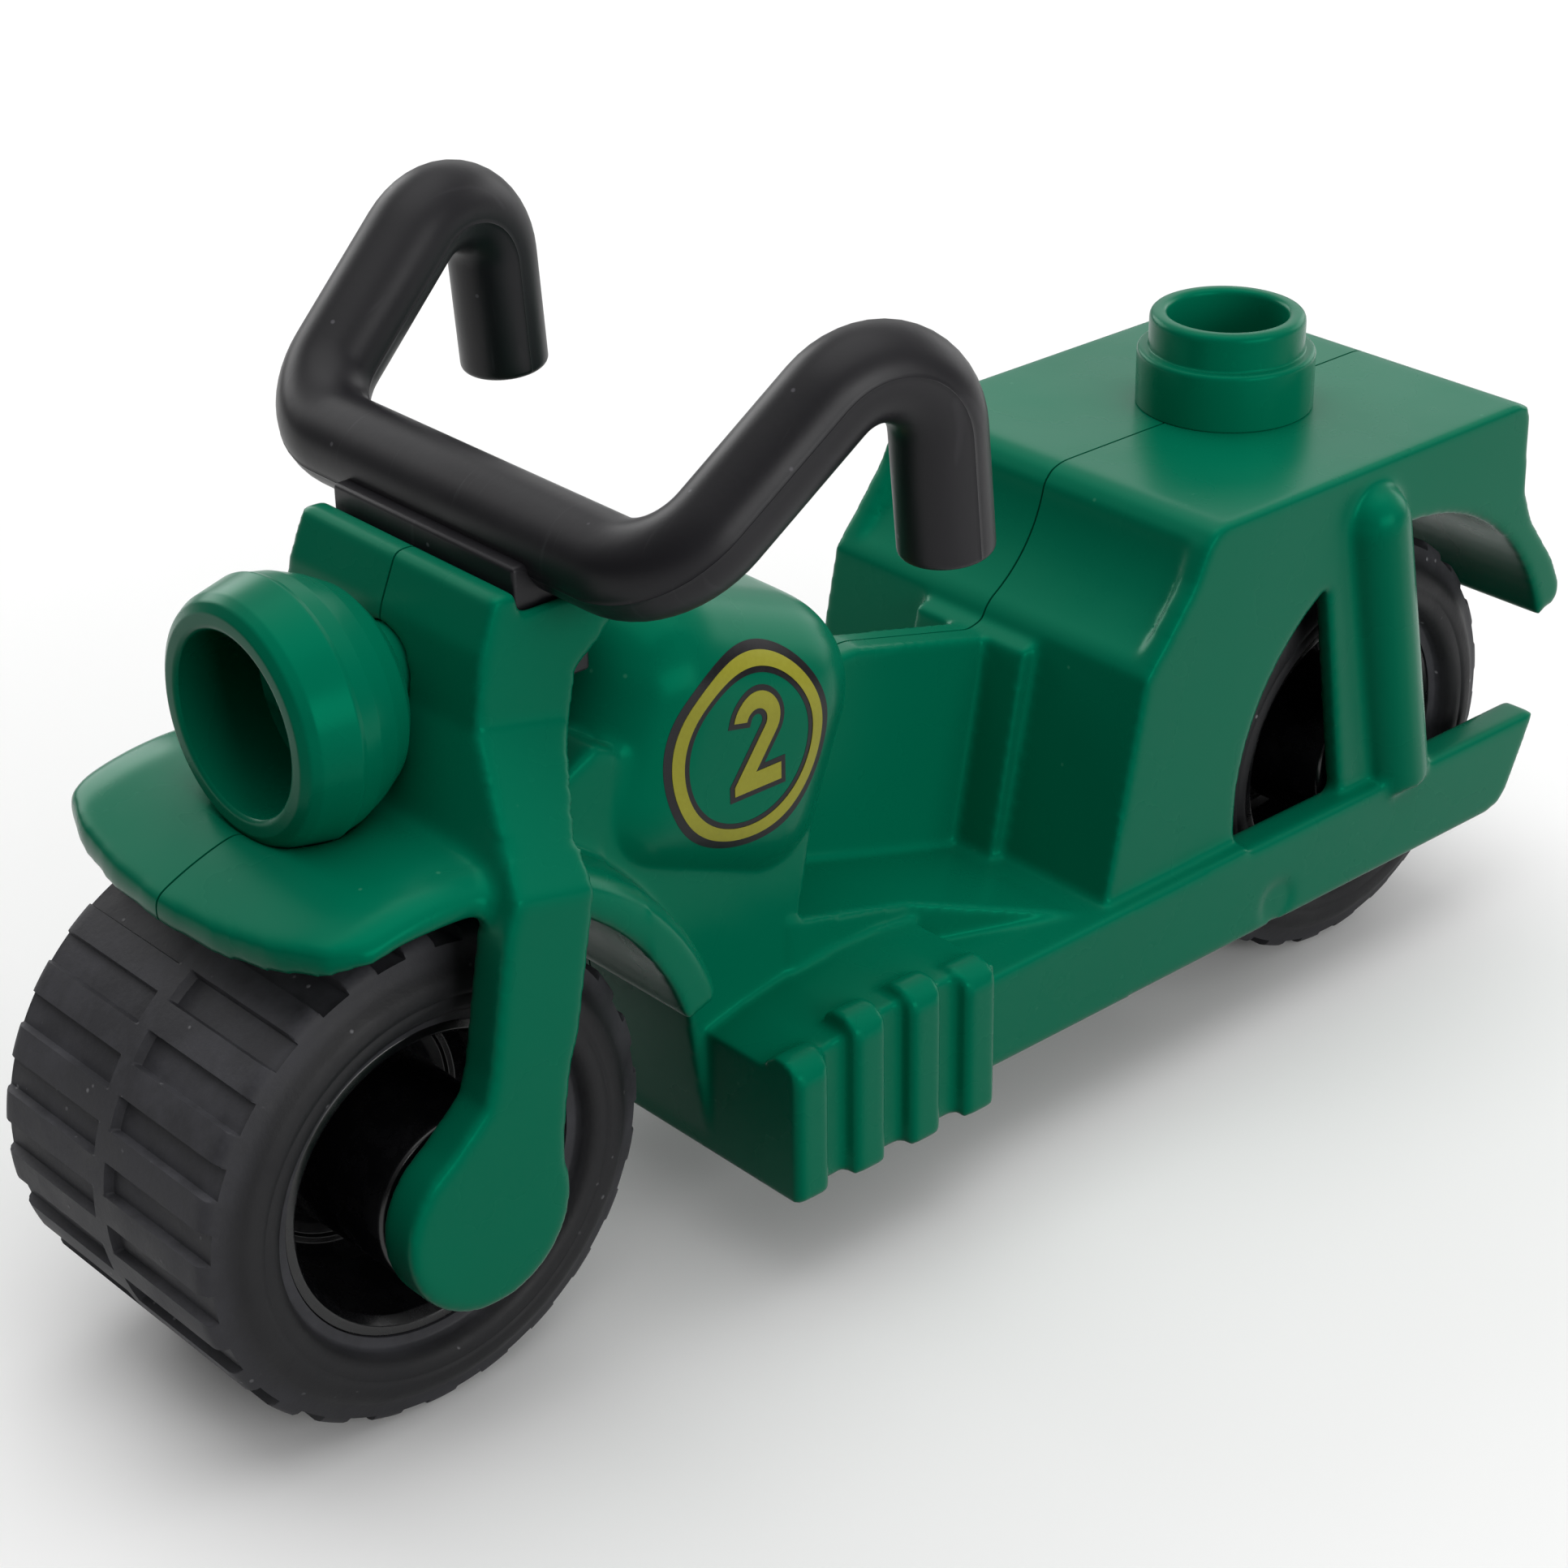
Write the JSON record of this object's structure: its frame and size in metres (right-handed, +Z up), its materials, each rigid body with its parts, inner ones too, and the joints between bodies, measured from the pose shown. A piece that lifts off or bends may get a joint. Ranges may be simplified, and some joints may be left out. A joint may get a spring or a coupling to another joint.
{
  "type": "toy motorcycle",
  "caption": "Moulded plastic toy motorcycle for a pre-school building set, with free rolling wheels, hooked handlebar, headlamp cup and a building stud behind the seat.",
  "frame": {"origin": "middle of the bounding box on the ground, between the two tyres", "axes": "+X the bike's own left, -Y forward, +Z up"},
  "size_m": [0.0404, 0.0998, 0.0553],
  "materials": {
    "shell": "glossy moulded green",
    "insert": "glossy moulded green",
    "bar": "satin black",
    "tyre": "dull dark grey",
    "rim": "glossy black",
    "axle": "plain dark grey"
  },
  "bodies": {
    "body": {"left_shell": "shell", "right_shell": "shell", "stud_post": "insert", "headlamp_cup": "insert", "handlebar": "bar"},
    "front_wheel": {"front_tyre": "tyre", "front_rim": "rim", "front_axle": "axle"},
    "rear_wheel": {"rear_tyre": "tyre", "rear_rim": "rim", "rear_axle": "axle"}
  },
  "joints": [
    {"name": "front_wheel_spin", "type": "hinge", "parent": "body", "child": "front_wheel", "pos_m": [0, -0.03635, 0.0136], "axis": [1, 0, 0], "continuous": true},
    {"name": "rear_wheel_spin", "type": "hinge", "parent": "body", "child": "rear_wheel", "pos_m": [0, 0.03365, 0.0136], "axis": [1, 0, 0], "continuous": true}
  ]
}
